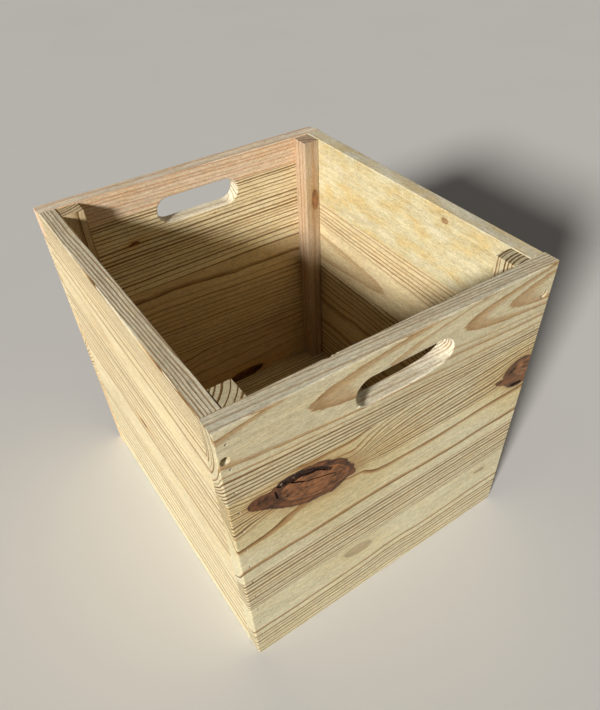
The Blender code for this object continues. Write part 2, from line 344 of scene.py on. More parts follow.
def node_group(**kinds):
    """Turn a function that fills a node group into one that builds it once and returns it.

    The group's inputs are the function's arguments after the tree, with the same defaults.
    Its outputs are named here with their kinds, and the function returns their values.
    """
    def wrap(fill):
        def get():
            if fill.__name__ in bpy.data.node_groups:
                return bpy.data.node_groups[fill.__name__]
            group = bpy.data.node_groups.new(fill.__name__, "ShaderNodeTree")
            arguments = list(signature(fill).parameters.values())[1:]
            for argument in arguments:
                value = argument.default
                kind = "Float" if isinstance(value, float) else "Color"
                if value is VECTOR:
                    kind = "Vector"
                socket = group.interface.new_socket(
                    name=label(argument.name), in_out="INPUT", socket_type=f"NodeSocket{kind}"
                )
                if value is not VECTOR:
                    socket.default_value = value
            for name, kind in kinds.items():
                group.interface.new_socket(
                    name=label(name), in_out="OUTPUT", socket_type=f"NodeSocket{kind}"
                )
            tree = Tree(group)
            start = tree.node("NodeGroupInput").outputs
            end = tree.node("NodeGroupOutput").inputs
            given = {argument.name: Field(tree, start[label(argument.name)]) for argument in arguments}
            for name, value in fill(tree, **given).items():
                tree.put(end[label(name)], value)
            return group
        return get
    return wrap


# ---------------------------------------------------------------- wood node groups


@node_group(distance="Float")
def pith_distance(tree, place=VECTOR, pith=VECTOR, slope=VECTOR, wobble=3.0, seed=0.0):
    """Distance from a pith line that runs beside the board, made uneven as a tree is."""
    along, across, depth = tree.separate(place)
    seed = seed * 17.31
    broad = tree.noise(tree.combine(along * 0.0065 + seed, across * 0.010, depth * 0.010), detail=1.0)
    close = tree.noise(tree.combine(along * 0.022 + seed, across * 0.05, depth * 0.05))
    fine = tree.noise(place, (0.010, 0.7, 0.7))
    line = tree.vector("ADD", pith, tree.vector("SCALE", slope, scale=along))
    beside = tree.vector("MULTIPLY", tree.vector("SUBTRACT", place, line), (0.0, 1.0, 1.0))
    distance = tree.vector("LENGTH", beside) + (broad - 0.5) * wobble
    distance = distance + (close - 0.5) * wobble * 0.32 + (fine - 0.5) * 0.7
    return dict(distance=distance)


@node_group(late="Float")
def ring_lines(tree, count=0.0, strength=0.6, share=0.4):
    """Late wood of each ring: a brown band that ends in a crisp dark edge."""
    part = tree.math("FRACT", count)
    middle = share * -0.55 + 1.0
    late = part.smooth(middle, 0.97) * 0.32 + part.smooth(1.0 - share, middle) * 0.68
    return dict(late=late * part.smooth(0.965, 1.0, 1.0, 0.0) * strength)


@node_group(length="Float", height="Float", edge="Float")
def knot_oval(
    tree, place=VECTOR, middle=VECTOR, half_length=20.0, half_height=10.0, lean=0.0, ragged=0.10
):
    """Where a point lies in an oval: its own length and height, and 1 on the oval's edge."""
    along, across, depth = tree.separate(tree.vector("SUBTRACT", place, middle))
    level, upright = tree.math("COSINE", lean), tree.math("SINE", lean)
    length = (across * upright + along * level) / half_length
    height = (across * level - along * upright) / half_height
    radius = tree.math("SQRT", length * length + height * height)
    rough = tree.noise(place, (0.06, 0.12, 0.04), detail=3.0)
    return dict(length=length, height=height, edge=(rough - 0.5) * ragged * 2.0 + radius)


@node_group(place="Vector")
def knot_flow(
    tree, place=VECTOR, length=0.0, height=0.0, half_height=10.0, push=0.0, lift=0.0, reach=2.0,
    above=0.0,
):
    """Bend the grain round an oval: push spreads the lines or draws them in, lift moves them.

    Where above is 1, only the lines above the oval's middle move.
    """
    near = tree.math("POWER", length * length + height * height + 0.25, reach * -0.5)
    near = tree.math("SMOOTH_MIN", near, 1.15, 0.7)
    kept = height.smooth(-0.15, 0.75) * above + (1.0 - above)
    shift = (height * half_height * push + lift) * near * kept
    return dict(place=tree.vector("SUBTRACT", place, tree.combine(0.0, shift, 0.0)))


@node_group(colour="Color", height="Float", roughness="Float")
def knot_wood(
    tree, place=VECTOR, edge=1.0, kernel=1.0, colour=(0.6, 0.5, 0.3, 1.0), height=0.5, roughness=0.5,
    bark_colour=(0.13, 0.05, 0.025, 1.0), kernel_colour=(0.3, 0.13, 0.06, 1.0),
    resin_colour=(0.02, 0.01, 0.01, 1.0), strength=1.0,
):
    """Colour, height and roughness inside a knot, over those of the wood round it."""
    inside = edge.smooth(1.03, 0.95) * strength
    halo = edge.smooth(1.45, 1.0) * strength
    wide = edge.smooth(4.2, 1.0) * strength
    grain = tree.noise(place, (0.12, 0.42, 0.42), detail=5.0, roughness=0.65)
    patches = tree.noise(place, (0.055, 0.11, 0.11), detail=3.0)
    speck = tree.noise(place, (0.20, 0.55, 0.55), detail=4.0).smooth(0.58, 0.68) * 0.7
    rings = tree.math("SINE", kernel * 38.0 + grain * 11.0)
    tone = (patches - 0.5) * 2.8 + (grain - 0.5) * 3.6 + rings * 0.13 + 1.0
    tone = tree.math("MAXIMUM", tone, 0.12)
    bark, core = tree.tint(bark_colour, tone), tree.tint(kernel_colour, tone)
    body = tree.mix(kernel.smooth(1.06, 0.98), bark, core)
    outline = kernel.smooth(0.90, 0.99) * kernel.smooth(1.10, 1.0) * 0.75
    dark = tree.math("MAXIMUM", outline, edge.smooth(0.86, 0.98) * 0.8)
    dark = tree.math("MULTIPLY", tree.math("MAXIMUM", dark, speck), grain * 1.2 + 0.2, clamp=True)
    body = tree.mix(dark, body, resin_colour)
    stain = tree.mix(halo * 0.40, colour, (0.42, 0.235, 0.085))
    stain = tree.mix(wide, stain, tree.tint(stain, (0.93, 0.84, 0.68)))
    return dict(
        colour=tree.mix(inside, stain, body),
        height=tree.blend(inside, height, grain * 0.9 - dark * 0.8),
        roughness=tree.blend(inside, roughness, dark * -0.16 + 0.46),
    )


@node_group(colour="Color", height="Float", roughness="Float")
def pine_face(
    tree, place=VECTOR, late=0.0, end=0.0, routed=0.0, pale_colour=(0.7, 0.58, 0.38, 1.0),
    late_colour=(0.42, 0.27, 0.13, 1.0), edge_colour=(0.17, 0.08, 0.03, 1.0), blotch=0.3,
    roughness=0.55, seed=0.0,
):
    """Colour, height and roughness of sanded pine from its late wood and its fibres."""
    seed = seed * 9.17
    place = tree.vector("ADD", place, tree.combine(seed, seed, seed))
    fibre = tree.noise(place, (0.11, 0.60, 0.60), detail=5.0, roughness=0.75)
    streak = tree.noise(place, (0.014, 0.23, 0.23), detail=3.0)
    cloud = tree.noise(place, (0.009, 0.025, 0.025))
    curl = tree.noise(place, (0.024, 0.050, 0.050), detail=4.0, roughness=0.6)
    speckle = tree.noise(place, (0.34, 0.62, 0.62), roughness=0.8)
    # Resin canals: short fine dashes along the grain
    dash = tree.noise(place, (0.10, 1.7, 1.7), detail=0.0).smooth(0.70, 0.78)
    late = tree.math("MULTIPLY", late * (streak * 0.6 + 0.7), end * 0.45 + 1.0, clamp=True)
    # Paler wood where this mask is set: fully on the slot walls cut by the router, and less on the upward
    # rims, where it is partly painted light
    late = late * (routed * -0.35 + 1.0)
    colour = tree.mix(routed * 0.70, pale_colour, (0.92, 0.87, 0.72))
    colour = tree.mix(late.smooth(0.0, 0.62), colour, late_colour)
    colour = tree.mix(late.smooth(0.45, 0.86), colour, edge_colour)
    tone = (speckle - 0.5) * 0.75 + (fibre - 0.5) * 1.15 + 1.03
    tone = tone + (streak - 0.5) * 0.46 + (cloud - 0.5) * 0.28
    colour = tree.tint(colour, tone * (end * -0.03 + 1.0))
    for low, high, shade in ((0.47, 0.30, (1.10, 1.11, 1.22)), (0.44, 0.64, (0.97, 0.86, 0.68))):
        colour = tree.mix(curl.smooth(low, high) * blotch, colour, tree.tint(colour, shade))
    return dict(
        colour=tree.mix(dash * 0.5, colour, late_colour),
        height=late * 0.5 + fibre * 0.6 - dash * 0.4,
        roughness=late * -0.10 + roughness + (fibre - 0.5) * 0.16,
    )


# ---------------------------------------------------------------- figure of each board


def knot(oval, push=0.0, lift=0.0, reach=2.0, above=0.0, ragged=0.10, lobes=(), kernel=None,
         strength=1.0):
    """A knot through a board, or with no strength only a bend of the grain.

    An oval is (along, across, half length, half height, lean), in mm and degrees.
    """
    return dict(
        oval=oval, push=push, lift=lift, reach=reach, above=above, ragged=ragged,
        lobes=lobes, kernel=kernel or oval, strength=strength,
    )


def even_rings(first, width, thickness, strength, narrowing=0.0, count=26):
    """Rings of much the same width, drawn when the board's seed is known."""
    def draw(seed):
        chance = Random(seed)
        rings, distance = [], first
        for number in range(count):
            rings.append((
                distance,
                thickness * chance.uniform(0.8, 1.6),
                strength * chance.uniform(0.7, 1.4),
            ))
            distance += width * (1 - narrowing) ** number * chance.uniform(0.7, 1.3)
        return rings
    return draw


def figure(pith, rings, slope=(0.0, 0.0), wobble=3.0, blotch=0.25,
           pale=(1.0, 1.0, 1.0), late=(1.0, 1.0, 1.0), knots=()):
    """How a board was cut from its log.

    The pith ran at (across, depth), in mm, and slope is how much both change with each mm along.
    A ring is (distance from the pith, thickness, strength of its line).
    """
    return dict(
        pith=pith, rings=rings, slope=slope, wobble=wobble, blotch=blotch, pale=pale, late=late,
        knots=knots,
    )


LARGE_KNOT = knot(
    (-97, 243, 47, 24, -17), push=-0.55, reach=4.0, ragged=0.14,
    lobes=((-146, 256, 13, 8, -10), (-128, 246, 30, 8, -20), (-62, 230, 12, 5, -30)),
    kernel=(-93, 242, 39, 17, -18),
)
# Grain round the large knot: drawn in at both ends, up under it and fanning out on its right
LARGE_KNOT_FLOW = (
    knot((-52, 231, 22, 22, 0), push=-0.75, reach=3.0, strength=0.0),
    knot((-152, 251, 24, 20, 0), push=-0.3, reach=3.0, strength=0.0),
    knot((-104, 226, 38, 18, 0), lift=8.0, reach=2.4, strength=0.0),
    knot((-50, 229, 50, 40, -8), lift=-12.0, reach=1.3, above=1.0, strength=0.0),
)
CUT_KNOT = knot(
    (163, 230, 27, 20, -18), push=0.25, lift=10.0, reach=3.4, ragged=0.14,
    lobes=((138, 227, 14, 4, -24),),
    kernel=(170, 234, 22, 12, -20), strength=0.93,
)
# How the pale wood of some boards differs from the usual colour, partly their own tone and partly painted
# light: boards seen from the brightly lit inside are made paler
INNER = (1.07, 1.01, 0.94)
OUTER_TOP = (0.92, 0.925, 0.92)
OUTER = (0.99, 1.035, 1.07)

# Figure of each board and post, in mm
FIGURES = {
    "front_board_top": figure(
        (333, -144.5),
        (
            (36.5, 1.1, 0.9), (39.2, 1.1, 0.9), (41.8, 1.2, 0.9), (44.6, 2.2, 0.56), (47.4, 2.2, 0.60),
            (51.2, 1.2, 0.50), (55.0, 2.6, 0.58), (61.2, 2.0, 0.60), (64.3, 1.1, 0.65),
            (67.4, 1.7, 1.0), (69.8, 1.3, 0.8), (72.6, 1.7, 1.0), (75.4, 1.5, 0.9),
            (78.4, 1.8, 1.0), (81.4, 1.7, 0.9), (84.4, 1.8, 1.0), (87.5, 1.7, 0.9),
        ),
        slope=(0.0, -0.05), wobble=2.4, pale=OUTER_TOP,
    ),
    "front_board_middle": figure(
        (186, -144.5),
        (
            (53.8, 2.3, 0.80), (57.5, 0.8, 0.20), (61.6, 1.6, 0.60), (64.8, 2.2, 1.0),
            (67.9, 1.9, 0.75), (72.5, 3.0, 0.9), (76.6, 2.6, 0.70), (79.6, 1.6, 0.80),
            (84.7, 3.2, 0.85), (88.5, 1.6, 0.70), (91.9, 2.4, 0.90), (96.0, 1.8, 0.75),
            (98.6, 1.2, 0.8), (103.0, 2.4, 0.8), (107.0, 1.6, 0.7), (112.0, 2.4, 0.8),
            (118.0, 2.4, 0.8), (124.0, 2.4, 0.8), (131.0, 2.4, 0.8),
        ),
        wobble=3.4, pale=OUTER,
        knots=(LARGE_KNOT, *LARGE_KNOT_FLOW, CUT_KNOT),
    ),
    "front_board_bottom": figure(
        (78, -149.5),
        (
            (48.0, 0.8, 0.12), (52.5, 2.4, 0.72), (59.5, 2.5, 0.85), (62.9, 1.6, 0.85),
            (68.0, 2.5, 0.90), (73.4, 2.6, 0.75), (77.0, 1.3, 0.50), (81.5, 2.6, 0.75),
            (87.0, 2.6, 0.65), (93.0, 2.6, 0.60),
        ),
        wobble=3.0, pale=OUTER,
        knots=(
            knot((8, 50, 24, 90, 0), lift=3.0, reach=2.6, strength=0.0),
            knot(
                (-43, 86, 19, 9, -12), push=0.3, ragged=0.08, strength=0.34,
                kernel=(-43, 86, 12, 5, -12),
            ),
            knot((137, 85, 9, 3, -6), push=0.3, ragged=0.2, strength=0.4, kernel=(137, 85, 4, 1, 0)),
        ),
    ),
    # The back boards' pale wood is raised, most on the two upper boards, partly their own tone and partly
    # painted light for the brightly lit inside
    "back_board_top": figure(
        (240, 230), even_rings(80, 3.6, 1.6, 0.40), wobble=5, blotch=0.4,
        pale=(1.36, 1.24, 1.36), late=(1.45, 1.12, 1.15),
    ),
    "back_board_upper": figure(
        (150, 240), even_rings(95, 4.6, 1.9, 0.62), slope=(0.01, 0.0), wobble=4,
        pale=(1.44, 1.40, 1.37),
        knots=(
            knot((-88, 290, 7, 2.2, 8), ragged=0.3),
            knot((18, 295, 3, 1.2, 0), strength=0.4),
        ),
    ),
    "back_board_lower": figure(
        (225, 240), even_rings(66, 4.4, 1.5, 0.55), slope=(-0.03, 0.0), wobble=6,
        pale=(1.16, 1.02, 0.88),
    ),
    "back_board_bottom": figure(
        (20, 232), even_rings(64, 9.0, 2.4, 0.50), wobble=16, pale=(1.10, 0.94, 0.80),
        knots=(
            knot(
                (30, 25, 30, 8, 3), push=0.4, lift=14.0, reach=1.6, ragged=0.2,
                kernel=(30, 25, 1, 1, 0),
            ),
        ),
    ),
    "left_board_top": figure(
        (283, -125),
        (
            (50.0, 2.2, 0.30), (55.9, 2.0, 0.70), (63.4, 2.2, 0.80), (67.3, 1.5, 0.75), (72.0, 1.6, 0.85),
            (74.6, 1.1, 0.85), (77.0, 1.1, 0.9), (79.3, 1.0, 0.9), (81.2, 0.8, 0.9), (82.9, 0.8, 0.9),
            (84.5, 0.8, 1.0), (86.0, 0.7, 0.9), (87.5, 0.8, 1.0), (89.0, 0.7, 0.9), (91.0, 0.9, 0.90),
        ),
        slope=(0.0, -0.015), wobble=3, pale=(1.04, 1.0, 0.96),
    ),
    "left_board_middle": figure(
        (150, -100), even_rings(84, 7.5, 3.0, 0.66), slope=(0.035, 0.0), wobble=7,
        pale=(1.01, 0.99, 0.97),
        knots=(knot((2, 196, 9, 2.6, -4), push=0.6, ragged=0.3, kernel=(2, 196, 1, 1, 0)),),
    ),
    "left_board_bottom": figure(
        (-20, -120), even_rings(76, 11.0, 5.5, 0.60), slope=(0.03, 0.0), wobble=9,
        pale=(1.02, 1.06, 1.09),
    ),
    "right_board_top": figure(
        (318, 195), even_rings(30, 14.0, 3.0, 0.14), wobble=40, blotch=1.0,
        pale=(1.04, 1.05, 1.0), knots=(knot((-68, 345, 5, 3, 0), ragged=0.3, push=0.5, strength=0.6),),
    ),
    "right_board_middle": figure(
        (211, 207),
        (
            (50.0, 3.4, 0.42), (58.3, 1.6, 0.55), (61.6, 1.6, 0.75), (64.7, 1.5, 0.75), (68.6, 1.5, 0.65),
            (72.1, 1.4, 0.65), (77.4, 1.6, 0.65), (81.0, 1.5, 0.60), (85.0, 1.5, 0.60),
        ),
        slope=(0.0, -0.03), wobble=2.5, pale=INNER,
    ),
    "right_board_bottom": figure(
        (100, 225), even_rings(66, 5.0, 1.8, 0.7), slope=(0.02, 0.0), wobble=7, pale=INNER,
    ),
    "bottom_board_front": figure(
        (-150, -60), even_rings(56, 4.5, 1.7, 0.7), slope=(0.02, 0.0), wobble=6,
        pale=INNER,
    ),
    "bottom_board_middle": figure(
        (0, -45), even_rings(46, 5.0, 1.8, 0.7, narrowing=0.02), slope=(0.0, 0.03), wobble=5,
        pale=INNER,
    ),
    "bottom_board_back": figure(
        (60, -50), even_rings(50, 4.2, 1.6, 0.7), slope=(-0.02, 0.0), wobble=5,
        pale=INNER,
    ),
    "post_front_left": figure(
        (-190, -130), even_rings(30, 4.4, 1.7, 0.85), wobble=2,
    ),
    "post_front_right": figure(
        (150, -215), even_rings(26, 4.2, 1.6, 0.85), slope=(0.01, 0.0), wobble=2,
    ),
    "post_back_left": figure(
        (-170, 230), even_rings(36, 5.0, 1.9, 0.6), wobble=2, pale=(1.10, 0.98, 0.90),
    ),
    "post_back_right": figure(
        (120, 120), even_rings(36, 6.0, 2.0, 0.45), slope=(0.01, 0.0), wobble=3,
        pale=(0.84, 0.73, 0.77), late=(1.0, 0.85, 0.95),
        knots=(knot((281, 150, 14, 5, 0), push=0.5, ragged=0.16, strength=0.75),),
    ),
}
# Each one's place in this list is its seed
for number, cut in enumerate(FIGURES.values(), 1):
    cut["seed"] = float(number)
    if callable(cut["rings"]):
        cut["rings"] = cut["rings"](number)


# ---------------------------------------------------------------- materials


def new_material(name):
    """A material, its tree and its shader's inputs."""
    material = bpy.data.materials.new(name)
    material.use_nodes = True
    tree = Tree(material.node_tree)
    return material, tree, material.node_tree.nodes["Principled BSDF"].inputs


def board_place(tree, panel):
    """Millimetres along, across and through a panel's boards, and 1 on their end grain."""
    place = tree.made("ShaderNodeTexCoord", "Object")
    place = tree.separate(tree.vector("SCALE", place, scale=1.0 / MM))
    facing = tree.separate(tree.made("ShaderNodeTexCoord", "Normal"))
    order = ["XYZ".index(letter) for letter in ALONG_ACROSS_DEPTH[panel]]
    end = tree.math("ABSOLUTE", facing[order[0]]).smooth(0.6, 0.95)
    return tree.combine(*(place[number] for number in order)), end


def ring_tables(tree, distance, rings):
    """Turn the distance from the pith into a ring count, and look up that ring's band."""
    edges = [rings[0][0] - 12.0, *(ring[0] for ring in rings), rings[-1][0] + 30.0]
    total = len(edges) - 1
    spread = edges[-1] - edges[0]
    table = tree.node("ShaderNodeFloatCurve")
    points = table.mapping.curves[0].points
    for number in range(1, total):
        points.new((edges[number] - edges[0]) / spread, number / total)
    for point in points:
        point.handle_type = "VECTOR"
    table.mapping.update()
    tree.put(table.inputs["Value"], tree.math("DIVIDE", distance - edges[0], spread, clamp=True))
    count = Field(tree, table.outputs[0]) * total
    bands = tree.node("ShaderNodeValToRGB")
    bands.color_ramp.interpolation = "CONSTANT"
    stops = bands.color_ramp.elements
    stops.remove(stops[1])
    widths = [after - before for before, after in zip(edges, edges[1:])]
    for number, ((start, thickness, strength), width) in enumerate(zip(rings, widths)):
        stop = stops[0] if number == 0 else stops.new(number / total)
        stop.position = number / total
        stop.color = (strength, min(0.85, thickness / width), 0.0, 1.0)
    tree.put(bands.inputs[0], (tree.math("FLOOR", count) + 0.5) / total)
    band = tree.separate(Field(tree, bands.outputs["Color"]))
    return dict(count=count, strength=band[0], share=band[1])


def oval_nodes(tree, place, oval, ragged):
    """Nodes for one oval of a knot, at every depth of the board."""
    middle = tree.combine(oval[0], oval[1], tree.separate(place)[2])
    return tree.group(
        knot_oval(), place=place, middle=middle, half_length=oval[2], half_height=oval[3],
        lean=radians(oval[4]), ragged=ragged,
    )


def scaled(colour, parts):
    return [value * part for value, part in zip(colour, parts)]


def pine_material(name, panel, wood):
    """The pine of one board or post, with its own rings and knots."""
    cut = FIGURES[name]
    material, tree, shader = new_material(f"{name}_pine")
    place, end = board_place(tree, panel)
    bent = place
    marks = []
    for spot in cut["knots"]:
        main = oval_nodes(tree, place, spot["oval"], spot["ragged"])
        bent = tree.group(
            knot_flow(), place=bent, length=main["length"], height=main["height"],
            half_height=spot["oval"][3], push=spot["push"], lift=spot["lift"], reach=spot["reach"],
            above=spot["above"],
        )["place"]
        if spot["strength"] > 0:
            edge = main["edge"]
            for lobe in spot["lobes"]:
                more = oval_nodes(tree, place, lobe, spot["ragged"])["edge"]
                edge = tree.math("SMOOTH_MIN", edge, more, 0.35)
            kernel = oval_nodes(tree, place, spot["kernel"], 0.08)["edge"]
            marks.append(dict(edge=edge, kernel=kernel, strength=spot["strength"]))
    distance = tree.group(
        pith_distance(), place=bent, pith=(0.0, *cut["pith"]), slope=(0.0, *cut["slope"]),
        wobble=cut["wobble"], seed=cut["seed"],
    )["distance"]
    face = tree.group(
        pine_face(), place=place, end=end, blotch=cut["blotch"], seed=cut["seed"],
        late=tree.group(ring_lines(), **ring_tables(tree, distance, cut["rings"]))["late"],
        routed=tree.made("ShaderNodeAttribute", "Fac", attribute_name="routed"),
        pale_colour=scaled(wood.pale, cut["pale"]), late_colour=scaled(wood.late, cut["late"]),
        edge_colour=scaled(wood.edge, cut["late"]), roughness=wood.roughness,
    )
    for mark in marks:
        face = tree.group(
            knot_wood(), place=place, bark_colour=list(wood.bark), kernel_colour=list(wood.knot),
            resin_colour=list(wood.resin), **mark, **face,
        )
    if name in POCKETS:
        face.update(pocket_resin(tree, place, face, wood))
    tree.put(shader["Base Color"], face["colour"])
    tree.put(shader["Roughness"], face["roughness"])
    tree.put(shader["Normal"], tree.bump(face["height"], 0.6, 0.0003))
    shader["Specular IOR Level"].default_value = 0.2
    return material


def pocket_resin(tree, place, face, wood):
    """Dark glossy resin on the walls of a board's open pockets, with pale specks painted in as
    highlights.
    """
    hollow = tree.made("ShaderNodeAttribute", "Fac", attribute_name="hollow")
    glint = tree.noise(place, (0.25, 0.7, 0.7), detail=4.0, roughness=0.7)
    shade = tree.mix(glint.smooth(0.52, 0.62), list(wood.resin), list(wood.bark))
    # Pale specks in the colour are a painted highlight standing in for glints on the resin
    shade = tree.mix(glint.smooth(0.62, 0.70), shade, (0.62, 0.52, 0.42))
    gloss = glint.smooth(0.3, 0.7, 0.12, 0.6)
    return dict(
        colour=tree.mix(hollow, face["colour"], shade),
        roughness=tree.blend(hollow, face["roughness"], gloss),
    )


def steel_material(name, colour, roughness):
    material, tree, shader = new_material(name)
    worn = tree.noise(tree.made("ShaderNodeTexCoord", "Object"), scale=900.0, detail=4.0)
    dull = tree.mix(worn.smooth(0.35, 0.75), colour, [value * 0.45 for value in colour])
    tree.put(shader["Base Color"], dull)
    tree.put(shader["Roughness"], worn * 0.3 + roughness)
    tree.put(shader["Normal"], tree.bump(worn, 0.3, 0.0001))
    shader["Metallic"].default_value = 1.0
    return material


# ---------------------------------------------------------------- mesh helpers


def block(low, high):
    """A box between two corners."""
    mesh = bmesh.new()
    bmesh.ops.create_cube(mesh, size=1.0)
    low, high = Vector(low), Vector(high)
    bmesh.ops.scale(mesh, verts=mesh.verts, vec=high - low)
    bmesh.ops.translate(mesh, verts=mesh.verts, vec=(low + high) / 2)
    return mesh


def round_edges(mesh, chosen, radius, segments=4):
    bmesh.ops.bevel(
        mesh, geom=chosen, offset=radius, segments=segments, profile=0.5,
        affect="EDGES", clamp_overlap=True,
    )


def near(first, second):
    return abs(first - second) < MM / 10


def edges_where(mesh, test):
    """Edges whose two ends both pass a test."""
    return [edge for edge in mesh.edges if all(test(vert.co) for vert in edge.verts)]


def keep_side(mesh, axis, place, sign):
    """Keep what lies on one side of a plane across axis, and close the cut."""
    normal = Vector((0.0, 0.0, 0.0))
    normal[axis] = -sign
    point = Vector((0.0, 0.0, 0.0))
    point[axis] = place
    made = bmesh.ops.bisect_plane(
        mesh, geom=mesh.verts[:] + mesh.edges[:] + mesh.faces[:],
        plane_co=point, plane_no=normal, clear_outer=True,
    )
    rim = [item for item in made["geom_cut"] if isinstance(item, bmesh.types.BMEdge)]
    bmesh.ops.holes_fill(mesh, edges=rim)
    bmesh.ops.recalc_face_normals(mesh, faces=mesh.faces)


def to_object(name, mesh):
    data = bpy.data.meshes.new(name)
    mesh.to_mesh(data)
    mesh.free()
    thing = bpy.data.objects.new(name, data)
    bpy.context.scene.collection.objects.link(thing)
    return thing


def carve(piece, *meshes):
    """Cut closed meshes out of a piece for good."""
    tools = []
    for number, mesh in enumerate(meshes):
        tool = to_object(f"{piece.name}_tool_{number}", mesh)
        modifier = piece.modifiers.new(tool.name, "BOOLEAN")
        modifier.object = tool
        modifier.solver = "EXACT"
        tools.append(tool)
    apply_modifiers(piece)
    for tool in tools:
        data = tool.data
        bpy.data.objects.remove(tool)
        bpy.data.meshes.remove(data)


def apply_modifiers(piece):
    evaluated = piece.evaluated_get(bpy.context.evaluated_depsgraph_get())
    data = bpy.data.meshes.new_from_object(evaluated)
    old = piece.data
    piece.modifiers.clear()
    piece.data = data
    bpy.data.meshes.remove(old)
    data.name = piece.name


def smooth_faces(piece, angle=35.0):
    """Smooth the rounded edges and keep the flats flat."""
    piece.data.shade_smooth()
    piece.data.set_sharp_from_angle(angle=radians(angle))
    modifier = piece.modifiers.new("weighted_normals", "WEIGHTED_NORMAL")
    modifier.keep_sharp = True
    modifier.weight = 100
    apply_modifiers(piece)


def rough_lens(middle, half_sizes, lean, seed):
    """An irregular lens-shaped cutter for a resin pocket or a chipped arris."""
    mesh = bmesh.new()
    bmesh.ops.create_icosphere(mesh, subdivisions=4, radius=1.0)
    for vert in mesh.verts:
        rough = noise.fractal(vert.co * 2.3 + Vector((seed, 0.0, 0.0)), 0.8, 2.0, 4)
        vert.co *= 1.0 + 0.22 * rough
        vert.co = Vector(part * half for part, half in zip(vert.co, half_sizes))
    turn = Matrix.Rotation(-radians(lean), 4, "Y")
    bmesh.ops.transform(mesh, matrix=Matrix.Translation(middle) @ turn, verts=mesh.verts)
    return mesh


def mark_faces(piece, name, test):
    """Store 1 on the faces that pass a test, for the material to read."""
    marks = piece.data.attributes.new(name, "FLOAT", "FACE")
    for polygon in piece.data.polygons:
        marks.data[polygon.index].value = float(test(polygon.center, polygon.normal))


def add_piece(piece, node, material, slot):
    """Hand a finished piece over to the frame in place of its CAD node."""
    piece.data.materials.clear()
    piece.data.materials.append(material)
    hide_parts(node)
    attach(piece, BODY)


def slot_cutter(middle, shape, rise, levels):
    """A cutter along Y with round ends; levels are (y, growth) pairs.

    Its lower edge rises by rise from just past the middle to the right end.
    """
    half_length, half_height = shape.slot_length / 2, shape.slot_height / 2
    flat = half_length - half_height
    outline = []
    for end, first in ((flat, -pi / 2), (-flat, pi / 2)):
        for step in range(SLOT_ARC_STEPS + 1):
            angle = first + pi * step / SLOT_ARC_STEPS
            outline.append((end, cos(angle), sin(angle)))
    for step in range(1, SLOT_EDGE_STEPS):
        outline.append((flat * (2 * step / SLOT_EDGE_STEPS - 1), 0.0, -1.0))
    mesh = bmesh.new()
    rings = []
    for y, growth in levels:
        ring = []
        for centre, out, up in outline:
            x = centre + out * (half_height + growth)
            past = max(0.0, (x - SLOT_RISE_START) / (half_length - SLOT_RISE_START))
            z = up * (half_height + growth) + rise * past**2 * max(0.0, -up) ** 2
            ring.append(mesh.verts.new((middle.x + x, y, middle.z + z)))
        rings.append(ring)
    bridge(mesh, rings, len(outline))
    mesh.faces.new(rings[0])
    mesh.faces.new(rings[-1])
    bmesh.ops.recalc_face_normals(mesh, faces=mesh.faces)
    return mesh


def slot_levels(outer, inner, radius):
    """Growth of a slot cutter through a wall, opening with a quarter round at both faces."""
    low, high = min(outer, inner), max(outer, inner)
    turns = [step / SLOT_MOUTH_STEPS * pi / 2 for step in range(SLOT_MOUTH_STEPS + 1)]
    mouth = [(low + radius * (1 - cos(turn)), radius * (1 - sin(turn))) for turn in turns]
    far = [(high - (y - low), growth) for y, growth in reversed(mouth)]
    return [(low - CUTTER_REACH, mouth[0][1])] + mouth + far + [(high + CUTTER_REACH, far[-1][1])]


def bridge(mesh, rings, sides):
    """Faces between neighbouring rings of vertices; a ring of one vertex is a point."""
    for first, second in zip(rings, rings[1:]):
        for step in range(sides):
            corners = (
                first[step % len(first)], first[(step + 1) % len(first)],
                second[(step + 1) % len(second)], second[step % len(second)],
            )
            mesh.faces.new(list(dict.fromkeys(corners)))


def turned(profile, sides):
    """A closed body turned about +Y, from (distance, radius) pairs that end on the axis."""
    mesh = bmesh.new()
    rings = []
    for along, radius in profile:
        ring = []
        for step in range(sides if radius > 0 else 1):
            angle = 2 * pi * step / sides
            ring.append(mesh.verts.new((radius * cos(angle), along, radius * sin(angle))))
        rings.append(ring)
    bridge(mesh, rings, sides)
    bmesh.ops.recalc_face_normals(mesh, faces=mesh.faces)
    return mesh


def outward(place, side):
    """Turn a body that runs along +Y so that it starts at a face and runs into the panel."""
    return Matrix.Translation(place) @ Matrix.Rotation(0.0 if side < 0 else pi, 4, "Z")


def nodes_starting(start):
    return sorted(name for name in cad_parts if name.startswith(start))


def box_of(names):
    """The box round several CAD nodes."""
    lows, highs = zip(*(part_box(name) for name in names))
    low = Vector(min(corner[axis] for corner in lows) for axis in range(3))
    high = Vector(max(corner[axis] for corner in highs) for axis in range(3))
    return low, high


# ---------------------------------------------------------------- pieces

# Flaws of the boards, in mm. Resin pockets: (along, across, half length, half height, lean)
POCKETS = {
    "front_board_middle": (
        (-119, 263, 13, 4.4, -6), (-103, 262, 17, 4.0, -20), (-86, 255, 11, 2.6, -36),
        (-132, 254, 1.2, 6, 12), (-112, 256, 9, 0.9, -30), (-88, 245, 22, 0.6, -20),
        (160, 214, 11, 2.4, -8), (150, 238, 8, 1.2, 35),
    ),
}
# Torn grain at the lower edge of the slot: (along, across, half length, half height)
TEARS = {
    "front_board_top": (
        (-38, 302.6, 5.0, 0.9), (-31, 300.9, 6.0, 0.6), (36, 304.0, 8.0, 0.8), (46, 308.0, 5.0, 0.8),
        (-50, 306.0, 3.0, 0.7),
    ),
}
# Chips out of the rim's inner edge: (along, half length, half height)
CHIPS = {"front_board_top": ((-67, 4.5, 1.6), (-60, 3.0, 0.8), (158, 5.0, 0.7))}


